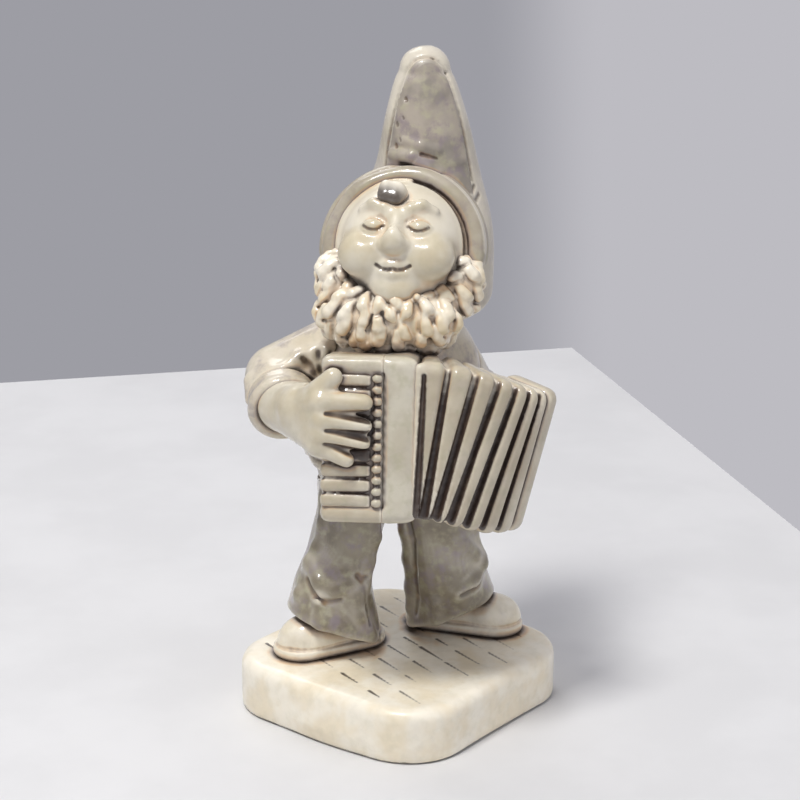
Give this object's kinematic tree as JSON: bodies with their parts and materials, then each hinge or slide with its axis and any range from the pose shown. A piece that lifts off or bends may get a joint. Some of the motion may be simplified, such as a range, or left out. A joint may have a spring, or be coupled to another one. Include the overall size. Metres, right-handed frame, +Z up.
{
  "type": "garden gnome",
  "caption": "Glazed ceramic garden gnome with a tall pointed hat and curly beard, playing a piano accordion on a rounded square plinth.",
  "frame": {"origin": "centre of the plinth's underside", "axes": "+Z up; -Y towards the plinth corner that the figure faces; +X towards the figure's own left"},
  "size_m": [0.095, 0.095, 0.1977],
  "materials": {
    "plinth_glaze": "gloss ivory glaze, brown wash in the grain lines",
    "shoe_glaze": "gloss ivory glaze",
    "trouser_glaze": "gloss glaze over a mottled purple-grey wash",
    "jacket_glaze": "gloss ivory glaze, purple-brown wash in the folds",
    "skin_glaze": "gloss ivory glaze",
    "hair_glaze": "gloss ivory glaze, grey-brown wash between the curls",
    "hat_glaze": "gloss ivory glaze",
    "hat_panel_glaze": "gloss glaze over a mottled lavender-grey wash",
    "accordion_glaze": "gloss ivory glaze, faint green-grey mottling",
    "key_glaze": "gloss glaze, dark wash between the keys",
    "bellows_glaze": "gloss glaze, purple-black wash in the folds"
  },
  "bodies": {
    "root": {"plinth": "plinth_glaze", "right_shoe": "shoe_glaze", "left_shoe": "shoe_glaze", "right_trouser_leg": "trouser_glaze", "left_trouser_leg": "trouser_glaze", "trouser_seat": "trouser_glaze", "jacket": "jacket_glaze", "right_sleeve": "jacket_glaze", "left_sleeve": "jacket_glaze", "right_cuff": "jacket_glaze", "left_cuff": "jacket_glaze", "right_hand": "skin_glaze", "left_hand": "skin_glaze", "head": "skin_glaze", "beard": "hair_glaze", "nape_hair": "hair_glaze", "forelock": "hair_glaze", "hat_crown": "hat_glaze", "hat_front_panel": "hat_panel_glaze", "hat_brim": "hat_glaze", "treble_casing": "accordion_glaze", "key_bed": "accordion_glaze", "white_keys": "key_glaze", "black_keys": "key_glaze", "bellows": "bellows_glaze", "bass_casing": "accordion_glaze"}
  },
  "joints": []
}
